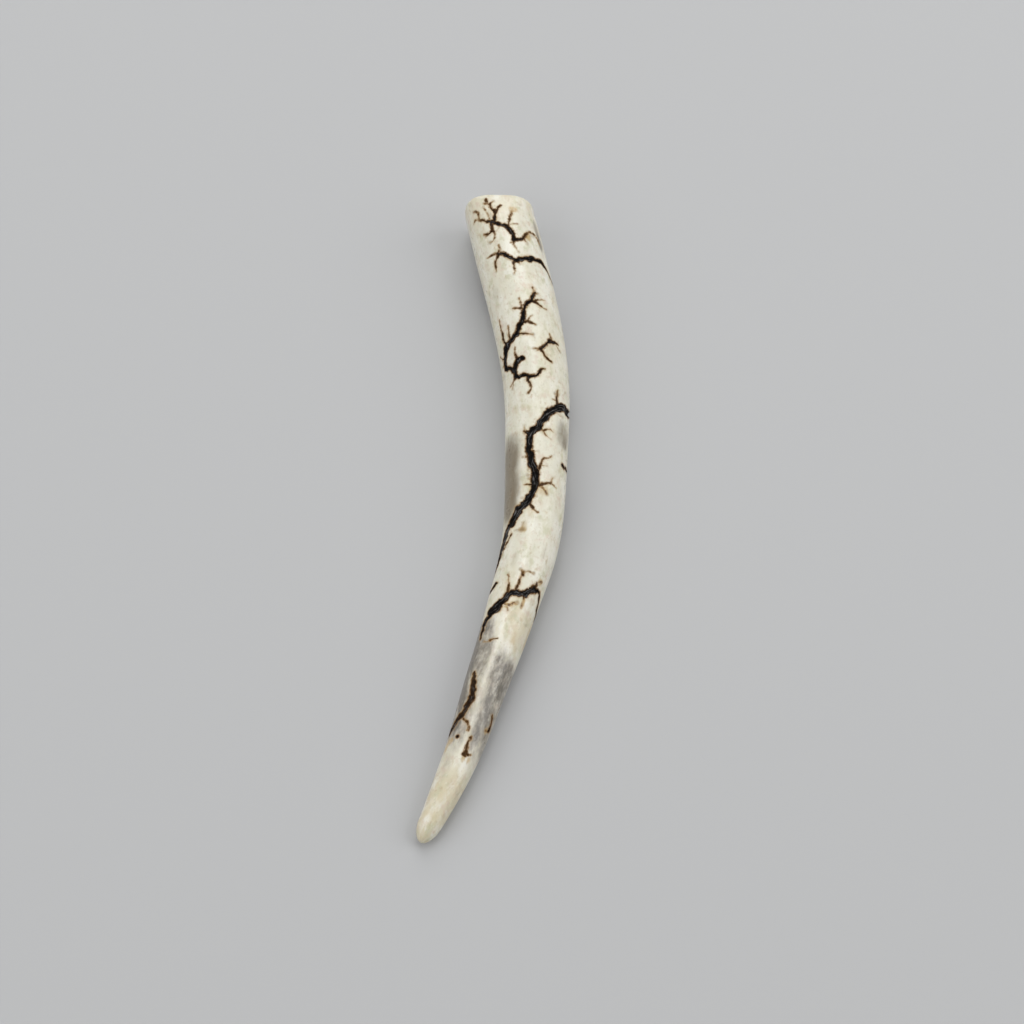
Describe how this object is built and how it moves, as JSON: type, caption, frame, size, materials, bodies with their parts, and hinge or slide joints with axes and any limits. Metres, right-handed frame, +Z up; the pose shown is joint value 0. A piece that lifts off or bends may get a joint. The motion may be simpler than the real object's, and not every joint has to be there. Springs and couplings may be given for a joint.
{
  "type": "deer antler tine",
  "caption": "Curved, tapering antler tine, sawn square at the thick end, blunt at the tip, polished, with branching burn grooves round it; it lies on its side.",
  "frame": {"origin": "on the surface the tine lies on, under the middle of its box", "axes": "+Z up, +Y from the worn tip to the sawn butt, +X towards the outside of the bend"},
  "size_m": [0.0334, 0.158, 0.0154],
  "materials": {
    "polished_antler": "satin"
  },
  "bodies": {
    "root": {"antler_tine": "polished_antler"}
  },
  "joints": []
}
